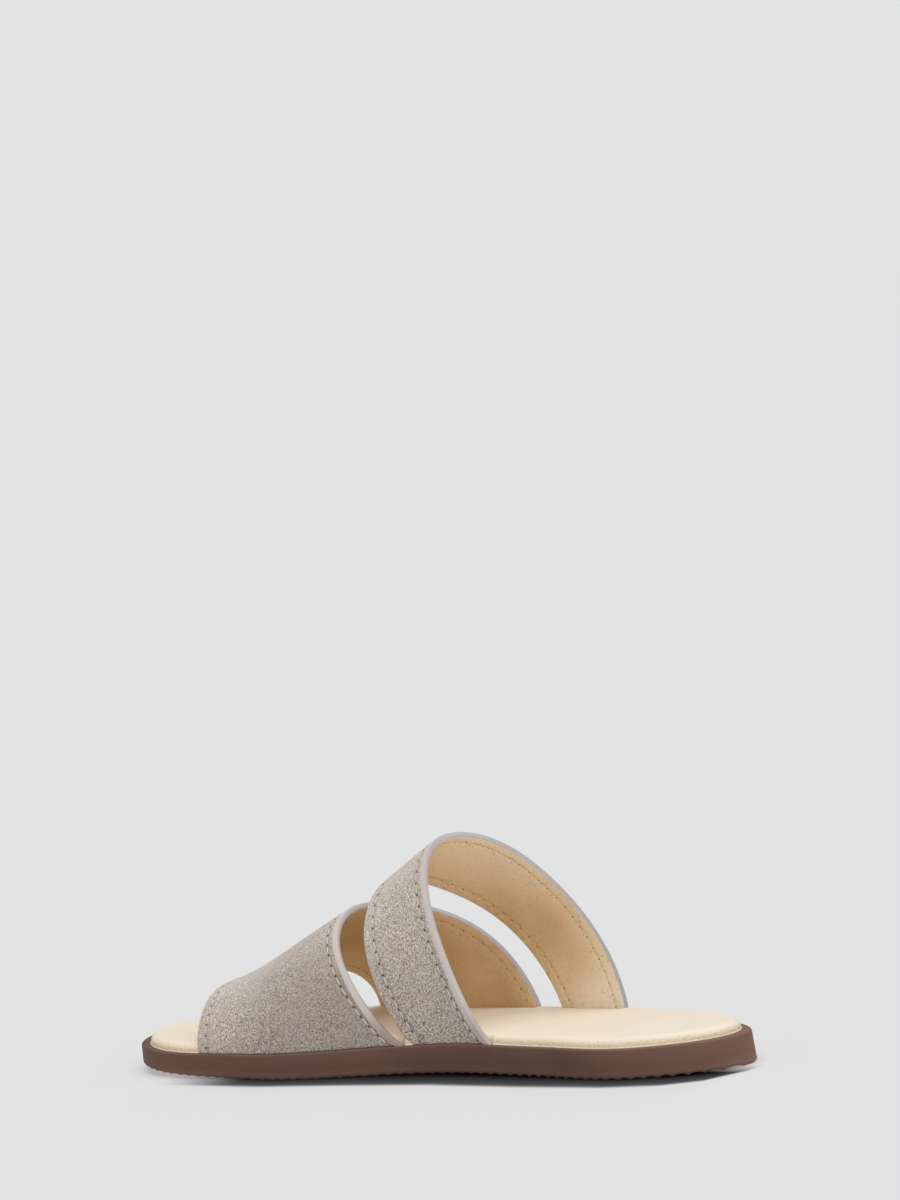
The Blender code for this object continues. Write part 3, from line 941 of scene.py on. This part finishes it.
# Painted light: the lining is lighter low by the feet towards the heel, standing in for light bounced
# from the insole.
lining_tone = lining.mix(lining_bounce_light * 0.60, lining_tone, LINING_PAINTED_BOUNCE)
# Painted light: the lining is lighter towards the top of the arch and along the back edge.
lining_tone = lining.mix(lining_light_high * 0.60, lining_tone, LINING_PAINTED_LIGHT_HIGH)
lining_tone = lining.mix(lining_light_by_back * 0.22, lining_tone, LINING_PAINTED_LIGHT_HIGH)
lining_tone = lining.mix(lining_pores * (0.25 + 0.25 * lining_edge), lining_tone, LINING_PORE)
lining_tone = lining.mix(lining_flecks * (0.10 + 0.35 * lining_edge), lining_tone, LINING_FLECK)
lining_tone = lining.mix(lining_holes * 0.85, lining_tone, LINING_HOLE_TONE)
lining_material = lining.finish(
    Base_Color=lining_tone, Roughness=0.62,
    Normal=lining.bump(lining_grain, 0.0001, 0.5,
                       lining.bump(1 - lining_trough * 0.6 - lining_holes, 0.0003, 1.0)))
for strap_name, strap in strap_shapes.items():
    inner = strap_layer(f"{strap_name}_lining", strap, SUEDE_DEPTH + LAYER_GAP, STRAP_WALL,
                        LINING_COLUMNS)
    inner.data.materials.append(lining_material)
    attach(inner, "root")


# Strap edges. The cut edges of both layers are sealed with thick pale grey edge paint, brushed on
# in coats, which dries as a smooth bead a little proud of the cut.
EDGE_PROUD = 0.0003
EDGE_BITE = 0.9
EDGE_POINTS = 20
EDGE_FLATNESS = 0.75
EDGE_SHY = 0.00004
PAINT_DARK = (0.56, 0.52, 0.52)
PAINT_LIGHT = (0.64, 0.60, 0.60)
PAINT_SHADE_OUTER = (0.37, 0.355, 0.375)
PAINT_SHADE_LOW = (0.395, 0.325, 0.310)


def edge_bead(name, strap, share, outward):
    """The painted edge: a long bead whose section is a flat oval as deep as the strap's wall, from
    sine and cosine to the power EDGE_FLATNESS. It stands proud of the cut edge by EDGE_PROUD, and
    its inner half bites into the edge."""
    turn = strap.even(int(strap.length / STRAP_STEP))
    normal, round_arch, to_front = strap.frame(turn, np.full_like(turn, share))
    edge = strap.face(turn, np.full_like(turn, share))
    columns_made = []
    for a in np.linspace(0, 2 * np.pi, EDGE_POINTS, endpoint=False):
        swell = np.sign(np.cos(a)) * abs(np.cos(a)) ** EDGE_FLATNESS
        reach = np.sign(np.sin(a)) * abs(np.sin(a)) ** EDGE_FLATNESS
        deep = STRAP_WALL / 2 + (STRAP_WALL / 2 - EDGE_SHY) * swell
        beyond = EDGE_PROUD * ((1 + EDGE_BITE) * reach - EDGE_BITE)
        columns_made.append(edge - normal * deep + to_front * beyond * outward)
    return closed_band(name, np.stack(columns_made, axis=1))


paint = Finish(bpy.data.materials.new("edge_paint"))
paint_ripple = paint.noise(0.003, 2.0)
paint_outer_shade = 1 - paint.ramp(paint.along("Y"), -0.036, 0.022)
paint_low_shade = (1 - paint.ramp(paint.along("Z"), 0.016, 0.030)) * (
    0.6 + 0.4 * paint.ramp(paint.along("X"), -0.030, -0.008))
paint_inner = paint.ramp(paint.along("Y"), 0.0, 0.020)
paint_tone = paint.mix(paint_ripple, PAINT_DARK, PAINT_LIGHT)
# Painted shade: the edge paint is darker on the outer side of the shoe.
paint_tone = paint.mix(paint_outer_shade * 0.75, paint_tone, PAINT_SHADE_OUTER)
# Painted shade: the edge paint is darker near the feet on the inner side.
paint_tone = paint.mix(paint_low_shade * paint_inner, paint_tone, PAINT_SHADE_LOW)
paint_material = paint.finish(
    Base_Color=paint_tone, Roughness=0.5,
    Normal=paint.bump(paint_ripple, 0.0001, 0.4))
for strap_name, strap in strap_shapes.items():
    for side, share, outward in (("back", 0.0, -1), ("front", 1.0, 1)):
        bead = edge_bead(f"{strap_name}_{side}_edge", strap, share, outward)
        bead.data.materials.append(paint_material)
        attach(bead, "root")


# Stitching. One lock-stitched row near each strap edge, sewn through both layers: cream thread on the
# suede and tan thread on the lining, in short lengths that dip into a needle hole at both ends.
THREAD_RADIUS = 0.00024
THREAD_SIDES = 6
THREAD_RINGS = 9
THREAD_SHORT = 0.08
THREAD_BOW = 1.1
THREAD_SUNK = 0.9
THREAD_FLAT = 0.8
LINING_THREAD_SHARE = 0.8
CREAM_THREAD = ((0.66, 0.58, 0.48), (0.86, 0.79, 0.69))
TAN_THREAD = ((0.58, 0.39, 0.20), (0.74, 0.54, 0.31))


def stitches(name, strap, side, depth, facing, radius):
    """The stitches of one row as capsules: between two holes the thread rises by half a sine and
    its radius shrinks to almost nothing at both ends, THREAD_SHORT of the pitch from each hole."""
    turn, share, length = strap.row(side, STITCH_IN)
    count = int(length[-1] / STITCH_PITCH - 0.7)
    part = np.linspace(THREAD_SHORT, 1 - THREAD_SHORT, THREAD_RINGS)
    run = (np.arange(count)[:, None] + 0.5 + part) * STITCH_PITCH
    at = np.interp(run, length, turn)
    place = np.interp(run, length, share)
    normal, round_arch, to_front = strap.frame(at, place)
    bow = np.sin(np.pi * (part - THREAD_SHORT) / (1 - 2 * THREAD_SHORT))
    core = strap.face(at, place) - normal * depth + normal * facing * (
        radius * (THREAD_BOW * bow - THREAD_SUNK))[:, None]
    thick = radius * np.clip(bow, 0.05, 1) ** 0.4
    a = np.linspace(0, 2 * np.pi, THREAD_SIDES, endpoint=False)[:, None]
    points = (core[:, :, None] + thick[:, None, None]
              * (normal[:, :, None] * np.sin(a) * THREAD_FLAT + to_front[:, :, None] * np.cos(a)))
    number = np.arange(points[..., 0].size).reshape(points.shape[:-1])
    following = np.roll(number, -1, axis=2)
    walls = np.stack([number[:, :-1], following[:, :-1], following[:, 1:], number[:, 1:]], axis=-1)
    mesh = bpy.data.meshes.new(name)
    mesh.from_pydata((points.reshape(-1, 3) - ORIGIN_SHIFT).tolist(), [],
                     walls.reshape(-1, 4).tolist() + number[:, 0].tolist()
                     + number[:, -1, ::-1].tolist())
    return make_piece(name, mesh, False)


thread_materials = []
for thread_name, tones in (("cream_thread", CREAM_THREAD), ("tan_thread", TAN_THREAD)):
    thread = Finish(bpy.data.materials.new(thread_name))
    thread_materials.append(thread.finish(
        Base_Color=thread.mix(thread.noise(0.0006, 1.0), *tones), Roughness=0.7))
for strap_name, strap in strap_shapes.items():
    for side in ("back", "front"):
        for face_name, depth, facing, radius, thread_material in (
                ("suede", 0.0, 1, THREAD_RADIUS, thread_materials[0]),
                ("lining", STRAP_WALL, -1, THREAD_RADIUS * LINING_THREAD_SHARE,
                 thread_materials[1])):
            row = stitches(f"{strap_name}_{side}_{face_name}_stitches", strap, side, depth,
                           facing, radius)
            row.data.materials.append(thread_material)
            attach(row, "root")
